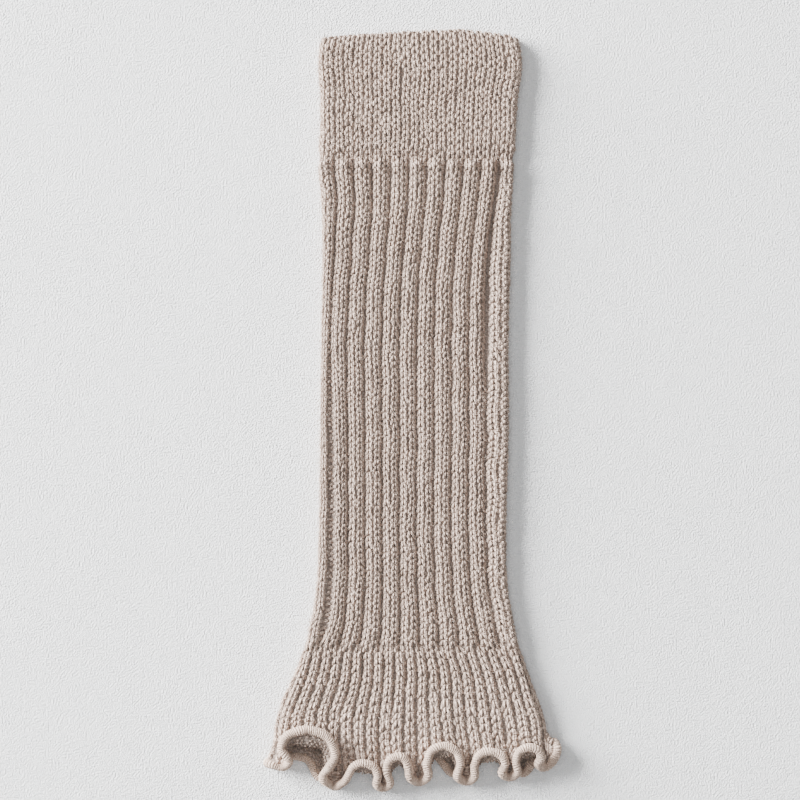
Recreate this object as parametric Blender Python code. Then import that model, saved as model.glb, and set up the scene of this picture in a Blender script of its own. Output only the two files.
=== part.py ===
"""A knitted leg warmer laid flat: plain cuff, ribbed leg, flared hem and lettuce edge.

Metres, +Z up. The length runs along Y with the cuff at +Y and the hem at -Y. The front
faces +Z and the back lies flat on Z = 0. The tube is closed all round: its front and back
layers lie on each other and join at the two side folds.

Places round the tube are counted in wales, the knit's columns: 0 at the left fold, 22 at
the right fold and 44 at the left fold again. Places along it are "down", the distance in
millimetres from the cuff's top along the cloth.
"""

import bmesh
import bpy
import numpy as np

MM = 0.001
TOP_Y = 200.2  # the cuff's top edge
SEAM_GAP = 0.3  # between two pieces that are sewn together
MIDDLE = np.array([1.16, -1.03, 0.0])  # of the whole, taken off every place to centre it

WALES = 22  # columns of one layer, fold to fold
RIB_WALES = 2  # columns in one rib of the leg
EDGE_WALES = 2  # columns between a fold and the first groove inside it

# Outer size of the flattened tube, in millimetres. The grooves are the second wale from
# each fold: between them the wales are evenly spaced.
SECTIONS = np.array(
    #  down  left  right  first_groove  last_groove  height
    [
        (0.0, -46.8, 57.6, -38.0, 48.8, 7.4),
        (7.0, -48.2, 58.8, -39.4, 50.0, 8.0),
        (15.4, -48.8, 59.4, -40.0, 50.4, 8.2),
        (36.6, -47.4, 57.0, -39.0, 48.4, 8.2),
        (57.8, -48.0, 55.8, -39.6, 47.6, 8.0),
        (68.4, -48.6, 55.2, -39.6, 47.4, 7.4),
        (92.2, -46.8, 53.6, -38.8, 44.6, 7.0),
        (124.0, -46.2, 53.4, -40.2, 40.8, 7.0),
        (155.8, -46.5, 52.5, -41.9, 39.8, 7.0),
        (219.4, -47.4, 52.4, -41.9, 39.8, 7.0),
        (267.0, -48.2, 51.0, -41.8, 39.8, 7.0),
        (298.9, -50.0, 52.4, -42.6, 41.9, 7.0),
        (314.8, -53.0, 55.5, -45.2, 44.9, 7.2),
        (325.4, -56.0, 57.9, -48.0, 47.4, 7.4),
        (338.7, -60.2, 61.6, -51.3, 52.7, 7.6),
        (354.6, -67.0, 67.4, -56.8, 57.2, 7.8),
        (370.0, -74.4, 74.6, -63.2, 63.4, 7.8),
    ]
)
DOWN, LEFT, RIGHT, FIRST_GROOVE, LAST_GROOVE, HEIGHT = SECTIONS.T

CUFF_END = 68.4  # where the cuff's plain knit turns into ribs
LEG_END = 325.4  # where each rib splits into single wales
HEM_START = 354.6  # where the waves of the hem begin
HEM_DROP = 44.0  # cloth from there to its edge

WALL = 3.0  # one layer of the cuff and the leg
HEM_WALL = 1.0  # one layer at the stretched edge
RIB_RISE = 1.5
WALE_RISE = 0.9
HEM_WALE_RISE = 0.0  # what is left of a wale's rise at the edge
RISE_START = 3.0  # length over which ribs and wales grow at a seam
EDGE_RADIUS = 2.2  # the thread-bound roll along the hem
EDGE_GAP = 0.4  # between the roll and the end of the cloth that it binds
EDGE_STEP = 3.2  # between two rings of the roll

# The waves of the front hem, in millimetres. A crest curls up and back over the cloth, a
# trough lies out flat. Half is half the width of the roll's bend, and lip the length of
# cloth that is turned back.
FRONT_WAVES = np.array(
    #  crest_x  crest_y  crest_half  crest_z  lip  trough_x  trough_y  trough_half  trough_z
    [
        (-53.4, -168.3, 14.1, 14.0, 7.5, -40.8, -199.0, 5.0, 3.4),
        (-24.4, -186.0, 7.4, 12.2, 2.6, -14.0, -200.0, 3.4, 3.4),
        (-6.6, -182.4, 5.8, 12.2, 2.0, 4.8, -196.9, 4.3, 3.4),
        (17.8, -176.8, 8.7, 12.8, 3.6, 29.4, -196.6, 4.2, 3.4),
        (42.0, -179.7, 8.0, 12.4, 3.0, 52.5, -194.2, 3.8, 4.6),
        (62.3, -177.6, 6.6, 12.8, 2.2, 71.2, -188.9, 3.6, 4.6),
    ]
)
FIRST_TROUGH = (-68.0, -188.4, 4.6, 7.1)  # left of the first crest: x, y, half and z

# The way round a bend of the roll, from a crest to the trough beside it. Heading and rise
# are the direction in degrees in which the cloth reaches the roll, with 0 away from the
# crest, and sink is how far the roll has come down.
BENDS = {
    #               out  part  sink  wale_part  heading  rise  lip_share
    "shoulder": (0.72, 0.12, 0.04, 0.22, 48, 25, 0.65),
    "crest side": (1.00, 0.42, 0.15, 0.44, 5, 50, 0.25),
    "trough side": (0.00, 0.84, 0.50, 0.78, -80, 50, 0.30),
}
CREST_RISE = 5
TROUGH_RISE = -10
LEAST_LIP = 2.4

# The roll at the two side folds, where it turns from the front to the back.
FOLDS = (
    #  wale    x      y      z   heading  rise
    (-0.60, -72.4, -187.0, 2.2, -90, 0),
    (0.00, -75.2, -186.4, 4.75, -95, 0),
    (0.60, -72.4, -187.3, 7.1, -90, -10),
    (21.53, 75.6, -185.1, 5.7, -52, 5),
    (21.69, 77.4, -180.7, 6.6, -3, -2),
    (22.00, 77.1, -177.2, 5.2, -34, -18),
    (22.83, 73.1, -177.3, 2.2, -90, 0),
)
LEFT_X, RIGHT_X = -75.2, 76.9  # the roll's middle at the folds

# The back hem waves less, the other way: it comes out under the crests of the front.
BACK_UNDER_CREST = -191.0
BACK_UNDER_TROUGH = -186.0
BACK_Z = 2.2
BACK_FOLD_RUN = 10.0  # no wave of the back hem this near the right fold

START_RUN = 12.0  # how straight the cloth runs on where the waves begin
SWELL = 0.2  # share of the roll's height that the cloth has already taken on there
LEVEL_Z = 8.0  # height of the roll at which the front cloth runs on level
HEM_Y = -190.0  # where the wales, had they no waves, would be spread evenly between the folds
EASE = (-0.4, -0.2, 0.0, 0.2, 0.4)  # wales over which the way of the cloth is evened out
RUN_IN = 8.0  # how straight the cloth comes to the roll where it isn't turned back

GREIGE = (0.40, 0.33, 0.29, 1.0)
PALE_THREAD = (0.52, 0.44, 0.38, 1.0)


def smooth(knots, values, at):
    """Values read from a smooth curve through the knots, a cubic between each two."""
    knots, at = np.asarray(knots, float), np.asarray(at, float)
    values = np.asarray(values, float)
    slopes = np.gradient(values, knots, axis=0)
    first = np.clip(np.searchsorted(knots, at, side="right") - 1, 0, len(knots) - 2)
    span = knots[first + 1] - knots[first]
    part = (at - knots[first]) / span
    if values.ndim > 1:
        span, part = span[..., None], part[..., None]
    return (
        values[first] * (1 + 2 * part) * (1 - part) ** 2
        + values[first + 1] * part**2 * (3 - 2 * part)
        + slopes[first] * span * part * (1 - part) ** 2
        - slopes[first + 1] * span * part**2 * (1 - part)
    )


def ramp(start, end, at):
    """0 before start, 1 after end, and smooth between them."""
    part = np.clip((at - start) / (end - start), 0, 1)
    return part * part * (3 - 2 * part)


def layer_thickness(down):
    return WALL + (HEM_WALL - WALL) * ramp(HEM_START - 25, HEM_START + HEM_DROP * 0.4, down)


def flat_tube(wale, down):
    """The middle of the wall where the tube lies flat: two layers joined by round folds."""
    left = smooth(DOWN, LEFT, down)
    right = smooth(DOWN, RIGHT, down)
    first_groove = smooth(DOWN, FIRST_GROOVE, down)
    last_groove = smooth(DOWN, LAST_GROOVE, down)
    height = smooth(DOWN, HEIGHT, down)
    across = np.where(wale > WALES, 2 * WALES - wale, wale)
    side = np.where(wale > WALES, -1.0, 1.0)
    outer = height / 2
    middle = (height - layer_thickness(down)) / 2
    quarter = np.pi / 2 * outer

    # The fold nearest to each place: its outermost x, and the way to the tube's middle.
    on_left = across < WALES / 2
    fold_x = np.where(on_left, left, right)
    inward = np.where(on_left, 1.0, -1.0)
    groove_x = np.where(on_left, first_groove, last_groove)
    from_fold = np.where(on_left, across, WALES - across)
    run = quarter + np.abs(groove_x - fold_x) - outer
    walked = from_fold / EDGE_WALES * run
    turned = np.clip(walked / outer, 0, np.pi / 2)
    beside = outer - middle * np.cos(turned) + np.clip(walked - quarter, 0, None)
    x_edge = fold_x + inward * beside
    between = (across - EDGE_WALES) / (WALES - 2 * EDGE_WALES)
    x_inside = first_groove + (last_groove - first_groove) * between
    x = np.where(from_fold < EDGE_WALES, x_edge, x_inside)
    rise = np.where(from_fold < EDGE_WALES, np.sin(turned), 1.0)
    return np.stack([x, TOP_Y - down + 0 * x, outer + side * middle * rise], axis=-1)


def wale_at(x):
    """The front wale that runs to this place along the hem."""
    return WALES * (x - LEFT_X) / (RIGHT_X - LEFT_X)


def hem_row(wale, x, y, z, heading, rise, lip=LEAST_LIP):
    """One row of the hem's table: a place of the roll, and how the cloth comes to it."""
    heading, rise = np.radians(heading), np.radians(rise)
    flat = np.cos(rise)
    return (wale, x, y, z, flat * np.cos(heading), flat * np.sin(heading), np.sin(rise), lip)


def trough_row(x, y, z):
    return hem_row(wale_at(x), x, y, z, -90, TROUGH_RISE)


def bend_row(crest, trough, name):
    """The row for one bend of the roll between a crest and the trough to its left or right."""
    out, part, sink, wale_part, heading, rise, lip_share = BENDS[name]
    crest_x, crest_y, crest_half, crest_z, lip = crest
    trough_x, trough_y, trough_half, trough_z = trough
    way = 1 if trough_x > crest_x else -1
    x = crest_x + way * out * crest_half if out else trough_x - way * trough_half
    return hem_row(
        wale_at(crest_x) + wale_part * (wale_at(trough_x) - wale_at(crest_x)),
        x,
        crest_y + part * (trough_y - crest_y),
        crest_z + sink * (trough_z - crest_z),
        heading if way > 0 else 180 - heading,
        rise,
        lip_share * lip,
    )


def hem_table():
    """Rows of wale, x, y, z, aim x, aim y, aim z and lip, once round the hem."""
    rows = [hem_row(*fold) for fold in FOLDS]
    trough = FIRST_TROUGH
    rows.append(trough_row(trough[0], trough[1], trough[3]))
    for wave in FRONT_WAVES:
        crest, next_trough = wave[:5], wave[5:]
        rows += [bend_row(crest, trough, name) for name in BENDS]
        crest_x, crest_y, _, crest_z, lip = crest
        rows.append(hem_row(wale_at(crest_x), crest_x, crest_y, crest_z, 90, CREST_RISE, lip))
        rows += [bend_row(crest, next_trough, name) for name in BENDS]
        rows.append(trough_row(next_trough[0], next_trough[1], next_trough[3]))
        for x, y in ((crest[0], BACK_UNDER_CREST), (next_trough[0], BACK_UNDER_TROUGH)):
            if x < RIGHT_X - BACK_FOLD_RUN:
                rows.append(hem_row(2 * WALES - wale_at(x), x, y, BACK_Z, -90, 0))
        trough = next_trough
    return np.array(sorted((row[0] % (2 * WALES), *row[1:]) for row in rows))


HEM = hem_table()
# The same rows once more before and after, so that the curve through them closes.
ROUND = np.array([2 * WALES, 0, 0, 0, 0, 0, 0, 0])
HEM_CLOSED = np.concatenate([HEM[-3:] - ROUND, HEM, HEM[:3] + ROUND])


def hem_edge(wale):
    """The roll's centre line, the way the cloth comes to it, and the cloth's lip there."""
    found = smooth(HEM_CLOSED[:, 0], HEM_CLOSED[:, 1:], wale)
    place, aim, lip = found[..., :3], found[..., 3:6], found[..., 6:]
    place = np.concatenate([place[..., :2], np.maximum(place[..., 2:], EDGE_RADIUS)], axis=-1)
    ahead = smooth(HEM_CLOSED[:, 0], HEM_CLOSED[:, 1:4], wale + 0.02)
    behind = smooth(HEM_CLOSED[:, 0], HEM_CLOSED[:, 1:4], wale - 0.02)
    along = unit(ahead - behind)
    across = aim - np.sum(aim * along, axis=-1, keepdims=True) * along
    return place, unit(across), np.maximum(lip, LEAST_LIP)


def unit(vectors):
    return vectors / np.linalg.norm(vectors, axis=-1, keepdims=True)


def spline(controls, part):
    """A place on the cubic B-spline that starts and ends at the first and last control."""
    count, degree = len(controls), 3
    inner = np.linspace(0, 1, count - degree + 1)
    knots = np.concatenate([np.zeros(degree), inner, np.ones(degree)])
    part = np.clip(part, 0, 1 - 1e-9)[..., None]
    weights = [(low <= part) & (part < high) for low, high in zip(knots, knots[1:])]
    for step in range(1, degree + 1):
        spans = knots[step:] - knots[:-step]
        spans[spans == 0] = 1
        weights = [
            (part - knots[i]) / spans[i] * weights[i]
            + (knots[i + step + 1] - part) / spans[i + 1] * weights[i + 1]
            for i in range(len(weights) - 1)
        ]
    return sum(weight * control for weight, control in zip(weights, controls))


def run_in(wale):
    """Where the cloth's way runs on from the flat part and comes to the roll: four places."""
    start = flat_tube(wale, np.full_like(wale, HEM_START))
    onward = unit(start - flat_tube(wale, np.full_like(wale, HEM_START - 1.0)))
    place, aim, lip = hem_edge(wale)
    end = place - aim * (EDGE_RADIUS + EDGE_GAP)
    first = start + onward * START_RUN
    first[..., 2] += np.where(wale % (2 * WALES) < WALES, SWELL * (place[..., 2] - LEVEL_Z), 0)
    turn = (1 - np.sum(onward * aim, axis=-1, keepdims=True)) / 2
    over = end - aim * lip
    across = np.where(wale > WALES, 2 * WALES - wale, wale)
    fanned_x = LEFT_X + (RIGHT_X - LEFT_X) * across / WALES
    under_y = over[..., 1] + (1 - turn[..., 0]) * RUN_IN
    way_down = (start[..., 1] - under_y) / (start[..., 1] - HEM_Y)
    under_x = start[..., 0] + (fanned_x - start[..., 0]) * way_down
    under = np.stack([under_x, under_y, start[..., 2]], axis=-1)
    return np.stack([first, under, over, end - aim * lip / 3, end])


def waved_hem(wale, part):
    """The middle of the wall from where the waves begin, part 0, to the cloth's edge, part 1."""
    start = flat_tube(wale, np.full_like(wale, HEM_START))
    exact = run_in(wale)
    eased = sum(run_in((wale + step) % (2 * WALES)) for step in EASE) / len(EASE)
    near = (exact[3] + eased[3]) / 2
    return spline([start, eased[0], eased[1], eased[2], near, exact[4]], part)


def wall_middle(wale, down):
    tube = flat_tube(wale, np.minimum(down, HEM_START))
    hem = waved_hem(wale, np.clip((down - HEM_START) / HEM_DROP, 0, 1))
    return np.where((down > HEM_START)[..., None], hem, tube)


def outward(wale, down):
    """The wall's outward direction, from its middle just beside each place."""
    step = 0.05
    after = wall_middle((wale + step) % (2 * WALES), down)
    across = after - wall_middle((wale - step) % (2 * WALES), down)
    below = wall_middle(wale, np.minimum(down + step, HEM_START + HEM_DROP))
    along = below - wall_middle(wale, down - step)
    normal = np.cross(along, across)
    normal[..., 1] *= ramp(HEM_START - START_RUN, HEM_START + START_RUN, down)
    return unit(normal)


def relief(wale, down):
    """How far the knit stands out: ribs on the leg, single wales on the flare."""
    rib = np.abs(np.sin(np.pi * wale / RIB_WALES)) ** 0.5
    single = np.abs(np.sin(np.pi * wale)) ** 0.6
    on_leg = ramp(CUFF_END, CUFF_END + RISE_START, down)
    on_leg *= 1 - ramp(LEG_END - RISE_START, LEG_END, down)
    on_flare = ramp(LEG_END, LEG_END + RISE_START, down)
    fade = ramp(HEM_START - 15, HEM_START + HEM_DROP * 0.5, down)
    wale_rise = WALE_RISE + (HEM_WALE_RISE - WALE_RISE) * fade
    return RIB_RISE * rib * on_leg + wale_rise * single * on_flare


def wall_ring(wales, down, share):
    """A closed ring of the wall: share 1 is its outer face with the ribs, -1 its plain inside."""
    down = np.full_like(wales, down)
    middle, normal = wall_middle(wales, down), outward(wales, down)
    raised = np.clip(1 + normal[:, 2], 0, 1) * relief(wales, down) if share > 0 else 0
    ring = middle + normal * (share * layer_thickness(down) / 2 + raised)[:, None]
    ring[:, 2] = np.maximum(ring[:, 2], 0)
    return ring


def loft(name, rings):
    """One closed body through the rings, the last joined to the first."""
    bm = bmesh.new()
    loops = [[bm.verts.new((place - MIDDLE) * MM) for place in ring] for ring in rings]
    for loop, following in zip(loops, loops[1:] + loops[:1]):
        for i, vert in enumerate(loop):
            after = (i + 1) % len(loop)
            bm.faces.new((vert, following[i], following[after], loop[after]))
    mesh = bpy.data.meshes.new(name)
    bm.to_mesh(mesh)
    bm.free()
    mesh.shade_smooth()
    return place_object(name, mesh)


def wales_round(front, back, edge):
    """Places round the tube: the offsets within one rib on the front, the back and at the folds."""
    ribs = 2 * WALES // RIB_WALES
    at_folds = (0, ribs // 2 - 1, ribs // 2, ribs - 1)
    found = []
    for rib in range(ribs):
        offsets = edge if rib in at_folds else front if rib < ribs // 2 else back
        found += [RIB_WALES * rib + offset for offset in offsets]
    return np.array(found, float)


def place_object(name, data):
    obj = bpy.data.objects.new(name, data)
    collection.objects.link(obj)
    return obj


def cuff():
    """The cuff's wall, with a round rim where the doubled cloth folds over at the top."""
    wales = wales_round(front=(0, 1), back=(0, 1), edge=(0, 0.3, 0.65, 1, 1.5))
    rim = ((0.9, 0.8), (2.4, 1.0))  # down, and the share of the half thickness reached there
    body = (9.0, 22.0, 36.6, 57.8, CUFF_END - SEAM_GAP / 2)
    outer = [wall_ring(wales, down, share) for down, share in rim]
    outer += [wall_ring(wales, down, 1.0) for down in body]
    inner = [wall_ring(wales, down, -1.0) for down in body[::-1]]
    inner += [wall_ring(wales, down, -share) for down, share in rim[::-1]]
    return loft("cuff", [wall_ring(wales, 0.0, 0.0)] + outer + inner)


def leg():
    wales = wales_round(front=(0, 0.3, 1, 1.7), back=(0, 1), edge=(0, 0.3, 0.65, 1, 1.7))
    downs = [CUFF_END + SEAM_GAP / 2, CUFF_END + RISE_START, 92.2, 124.0, 155.8, 204.0, 251.0]
    downs += [283.0, 305.0, LEG_END - RISE_START, LEG_END - SEAM_GAP / 2]
    return loft("leg", wall_rings(wales, downs))


def flare():
    """The flared hem in single wales, with the waves of its edge."""
    wales = wales_round(
        front=(0, 0.25, 0.5, 0.75, 1, 1.25, 1.5, 1.75),
        back=(0, 0.5, 1, 1.5),
        edge=(0, 0.25, 0.5, 0.75, 1, 1.25, 1.5, 1.75),
    )
    downs = [LEG_END + SEAM_GAP / 2, LEG_END + RISE_START, 338.7, 347.0, HEM_START]
    parts = (0.12, 0.24, 0.36, 0.46, 0.56, 0.66, 0.75, 0.84, 0.92, 1.0)
    downs += [HEM_START + HEM_DROP * part for part in parts]
    return loft("flare", wall_rings(wales, downs))


def wall_rings(wales, downs):
    outer = [wall_ring(wales, down, 1.0) for down in downs]
    inner = [wall_ring(wales, down, -1.0) for down in downs]
    return outer + inner[::-1]


def lettuce_edge():
    """The roll of overlocked thread: one closed tube round the front and the back hem."""
    fine, _, _ = hem_edge(np.linspace(0, 2 * WALES, 1200))
    walked = np.concatenate([[0], np.cumsum(np.linalg.norm(np.diff(fine, axis=0), axis=1))])
    count = int(walked[-1] / EDGE_STEP)
    at = np.arange(count) * walked[-1] / count
    curve = bpy.data.curves.new("lettuce_edge", "CURVE")
    curve.dimensions = "3D"
    curve.bevel_depth = EDGE_RADIUS * MM
    curve.bevel_resolution = 2
    way = curve.splines.new("POLY")
    way.points.add(count - 1)
    for i, point in enumerate(way.points):
        place = np.array([np.interp(at[i], walked, fine[:, axis]) for axis in range(3)])
        point.co = (*((place - MIDDLE) * MM), 1)
    way.use_cyclic_u = True
    return place_object("lettuce_edge", curve)


def knit_material(name, colour):
    material = bpy.data.materials.new(name)
    material.use_nodes = True
    material.diffuse_color = colour
    shader = material.node_tree.nodes["Principled BSDF"]
    shader.inputs["Base Color"].default_value = colour
    shader.inputs["Roughness"].default_value = 0.95
    shader.inputs["Metallic"].default_value = 0.0
    return material


for old in list(bpy.data.objects):
    bpy.data.objects.remove(old)
collection = bpy.data.collections.new("leg_warmer")
bpy.context.scene.collection.children.link(collection)

yarn = knit_material("greige_knit", GREIGE)
thread = knit_material("pale_overlock_thread", PALE_THREAD)
for piece, material in ((cuff(), yarn), (leg(), yarn), (flare(), yarn), (lettuce_edge(), thread)):
    piece.data.materials.append(material)
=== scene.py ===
"""A knitted leg warmer laid flat: every stitch of its cuff, ribs, flare and curled edge.

Metres, +Z up. Tables and places are in millimetres, as MM says. Places round the tube are
counted in wales, the knit's columns: 0 at the left fold, 22 at the right fold and 44 at the
left fold again. Places along it are rows of stitches from the cuff's top, or "down", the
distance from there along the cloth in millimetres.
"""

import bmesh
import bpy
import numpy as np
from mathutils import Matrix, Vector


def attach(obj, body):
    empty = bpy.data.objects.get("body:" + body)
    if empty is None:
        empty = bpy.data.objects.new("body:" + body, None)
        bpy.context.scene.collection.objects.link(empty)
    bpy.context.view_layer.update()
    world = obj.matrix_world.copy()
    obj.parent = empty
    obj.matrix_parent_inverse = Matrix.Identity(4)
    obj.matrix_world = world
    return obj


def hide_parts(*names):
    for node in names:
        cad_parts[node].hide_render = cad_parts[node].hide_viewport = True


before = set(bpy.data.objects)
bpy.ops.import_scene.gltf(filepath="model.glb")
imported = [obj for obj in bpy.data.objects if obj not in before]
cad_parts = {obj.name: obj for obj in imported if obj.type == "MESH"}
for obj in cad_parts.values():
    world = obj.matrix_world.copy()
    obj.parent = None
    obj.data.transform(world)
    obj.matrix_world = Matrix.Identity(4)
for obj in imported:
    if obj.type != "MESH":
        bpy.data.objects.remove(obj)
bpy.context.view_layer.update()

MM = 0.001
TOP_Y = 200.2  # the cuff's top edge
MIDDLE = np.array([1.16, -1.03, 0.0])  # of the whole, taken off every place to centre it
WALES = 22  # columns of one layer, fold to fold
RIB_WALES = 2  # columns in one rib of the leg
FLARE_SHIFT = 0.5  # the flare's columns stand on the ribs' middles and on their gutters
EDGE_WALES = 2  # columns between a fold and the first groove inside it

# Outer size of the flattened tube. Between the two grooves the wales are evenly spaced.
SECTIONS = np.array(
    #  down  left  right  first_groove  last_groove  height
    [
        (0.0, -46.8, 57.6, -38.0, 48.8, 7.4),
        (7.0, -48.2, 58.8, -39.4, 50.0, 8.0),
        (15.4, -48.8, 59.4, -40.0, 50.4, 8.2),
        (36.6, -47.4, 57.0, -39.0, 48.4, 8.2),
        (57.8, -48.0, 55.8, -39.6, 47.6, 8.0),
        (68.4, -48.6, 55.2, -39.6, 47.4, 7.4),
        (92.2, -46.8, 53.6, -38.8, 44.6, 7.0),
        (124.0, -46.2, 53.4, -40.2, 40.8, 7.0),
        (155.8, -46.5, 52.5, -41.9, 39.8, 7.0),
        (219.4, -47.4, 52.4, -41.9, 39.8, 7.0),
        (267.0, -48.2, 51.0, -41.8, 39.8, 7.0),
        (298.9, -50.0, 52.4, -42.6, 41.9, 7.0),
        (314.8, -53.0, 55.5, -45.2, 44.9, 7.2),
        (325.4, -56.0, 57.9, -48.0, 47.4, 7.4),
        (338.7, -60.2, 61.6, -51.3, 52.7, 7.6),
        (354.6, -67.0, 67.4, -56.8, 57.2, 7.8),
        (370.0, -74.4, 74.6, -63.2, 63.4, 7.8),
    ]
)
DOWN, LEFT, RIGHT, FIRST_GROOVE, LAST_GROOVE, HEIGHT = SECTIONS.T

CUFF_END = 68.4  # where the cuff's plain knit turns into ribs
LEG_END = 325.4  # where each rib splits into single wales
HEM_START = 354.6  # where the waves of the hem begin
HEM_DROP = 44.0  # cloth from there to its edge

WALL = 3.0  # one layer of the cuff and the leg
HEM_WALL = 1.0  # one layer at the stretched edge
THINS_BEFORE = 25.0  # how far above the waves the cloth starts to thin
THIN_BY = 0.4  # share of the hem's drop by which it is thin
RIM = 1.6  # radius of the cuff's folded top

# The rows of stitches, counted from the cuff's top: where each stretch of them starts.
ROWS = np.array(
    #  row  down
    [(0, -1.9), (20, CUFF_END), (104, LEG_END), (112.5, HEM_START), (122.3, HEM_START + HEM_DROP)]
)
CUFF_ROWS, LEG_ROWS, FLARE_ROWS, PURL_ROWS = (0, 20), (20, 104), (104, 123), (115, 123)
GROOVE_PURL_WALES, GROOVE_PURL_ROWS = (2, 3), (44, 104)  # the open groove at the left

# The waves of the front hem. A crest curls up and back over the cloth, a trough lies out
# flat. Half is half the width of the roll's bend, and lip the cloth that is turned back.
FRONT_WAVES = np.array(
    #  crest_x  crest_y  crest_half  crest_z  lip  trough_x  trough_y  trough_half  trough_z
    [
        (-53.4, -168.3, 14.1, 14.0, 8.8, -40.8, -199.0, 5.0, 3.4),
        (-24.4, -186.0, 7.4, 12.2, 5.0, -14.0, -200.0, 3.4, 3.4),
        (-6.6, -182.4, 5.8, 12.2, 4.6, 4.8, -196.9, 4.3, 3.4),
        (17.8, -176.8, 8.7, 12.8, 6.0, 29.4, -196.6, 4.2, 3.4),
        (42.0, -179.7, 8.0, 12.4, 5.6, 52.5, -194.2, 3.8, 4.6),
        (62.3, -177.6, 6.6, 12.8, 4.8, 71.2, -188.9, 3.6, 4.6),
    ]
)
FIRST_TROUGH = (-67.2, -188.4, 3.6, 7.1)  # left of the first crest: x, y, half and z

# The way round a bend of the roll, from a crest to the trough beside it. Heading and rise
# are the direction in degrees in which the cloth reaches the roll, with 0 away from the
# crest, and sink is how far the roll has come down.
BENDS = {
    #               out  part  sink  wale_part  heading  rise  lip_share
    "shoulder": (0.72, 0.12, 0.04, 0.22, 48, 25, 0.65),
    "crest side": (1.00, 0.42, 0.15, 0.44, 5, 50, 0.25),
    "trough side": (0.00, 0.84, 0.50, 0.78, -80, 50, 0.30),
}
CREST_RISE = 5
TROUGH_RISE = -10
LEAST_LIP = 2.4

# The roll at the two side folds, where it turns from the front to the back.
FOLDS = (
    #  wale    x      y      z   heading  rise
    (-0.60, -72.4, -187.0, 2.2, -90, 0),
    (0.00, -75.2, -186.4, 4.75, -95, 0),
    (0.60, -72.4, -187.3, 7.1, -90, -10),
    (21.53, 75.6, -185.1, 5.7, -52, 5),
    (21.69, 77.4, -180.7, 6.6, -3, -2),
    (22.00, 77.1, -177.2, 5.2, -34, -18),
    (22.83, 73.1, -177.3, 2.2, -90, 0),
)
LEFT_X, RIGHT_X = -75.2, 76.9  # the roll's middle at the folds

# The back hem waves less. It comes out in three places beside the crests of the front.
BACK_HEM = (
    #  x      y
    (-65.0, -184.0),
    (-58.0, -184.0),
    (-53.5, -186.0),
    (-49.5, -193.4),
    (-39.0, -187.0),
    (-24.4, -183.0),
    (-14.0, -187.0),
    (-6.6, -183.0),
    (4.8, -187.0),
    (13.5, -183.0),
    (22.0, -192.2),
    (31.0, -186.5),
    (42.0, -183.0),
    (52.5, -186.5),
    (60.0, -192.2),
    (67.0, -184.0),
)
BACK_Z = 2.2

START_RUN = 12.0  # how straight the cloth runs on where the waves begin
SWELL = 0.2  # share of the roll's height that the cloth has already taken on there
LEVEL_Z = 8.0  # height of the roll at which the front cloth runs on level
HEM_Y = -190.0  # where the wales, had they no waves, would be spread evenly between the folds
EASE = (-0.4, -0.2, 0.0, 0.2, 0.4)  # wales over which the way of the cloth is evened out
RUN_IN = 8.0  # how straight the cloth comes to the roll where it isn't turned back
ONWARD_STEP = 1.0  # length over which the cloth's direction is read where the waves begin
TANGENT_STEP = 0.02  # wales to each side from which the roll's direction is read

EDGE_RADIUS = 2.2  # the thread-bound roll along the hem
INTO_ROLL = 0.5  # how far the cloth's end goes into it

# How far the knit stands out of the plain wall, and how its columns draw together.
RIB_RISE = 1.15
RIB_DEPTH = 1.8  # from the top of a rib into the gutter beside it
RIB_ROUNDNESS = 0.38  # 0 is a flat-topped rib
GUTTER_END_DEPTH = 0.7  # how much deeper the gutters are just above the flare
GUTTER_END_LENGTH = 12.0  # how far above the flare they start to deepen
GUTTER_FULL_LENGTH = 2.0  # and are deepest
RIB_HEAD = 1.4  # how much higher a rib stands where the cuff draws it together
RIB_HEAD_LENGTH = 9.0
CUFF_DIP = 1.0  # and how far the cuff dips just above the ribs
CUFF_DIP_LENGTH = 6.0
RIB_HEAD_ROUND = 2.0  # how much later its sides start than its middle
RIB_LEAD = 1.0  # how far above the cuff's end the ribs start, where the dip is deepest
RISE_START = 2.0  # length below the cuff by which they have grown
RIB_FADE = 1.5  # how far above the flare they start to end
RIB_TRAIL = 0.5  # and how far into it they reach
WALE_RISE = 0.7
WALE_DEPTH = 1.35  # from the top of a single wale into the gutter beside it
WALE_ROUNDNESS = 0.8
PLAIN_BAND = 2.0  # plain knit between the ribs' end and the flare's wales
WALE_START = 5.0  # length over which the flare's wales grow
FLATTENS_BEFORE = 15.0  # how far above the waves they start to flatten
FLAT_BY = 0.5  # share of the hem's drop by which they are flattest
HEM_FLATNESS = 0.8  # share of their relief that is gone there
RIB_SQUEEZE = 0.04  # share of the way that a place is drawn to its rib's middle
WALE_SQUEEZE = 0.05  # and to its single wale's middle

# Grooves of the front that stand open for a stretch: the two ribs beside each are pushed
# away from it by this part of their width, and it is deeper by this much.
OPEN_GROOVES = (
    #  wale  opens_from  opens_to  closes_from  closes_to  push  depth
    (2, 150.0, 205.0, 312.0, 326.0, 0.20, 0.0),
    (20, 66.0, 72.0, 145.0, 200.0, 0.045, 1.6),
)
GROOVE_HALF_WIDTH = 0.45  # in wales

# The cuff's top edge isn't straight: how far it lies beyond the plain edge at these x.
CUFF_TOP = np.array(
    #  x  beyond
    [
        (-47.7, -4.0),
        (-42.4, -2.7),
        (-31.8, -2.1),
        (-15.9, -1.1),
        (5.8, 0.0),
        (26.5, 0.9),
        (42.4, -0.8),
        (53.0, -2.0),
        (57.8, -4.0),
    ]
)
CUFF_TOP_REACH = 45.0  # down the cuff, where the edge's curve has faded out

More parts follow.
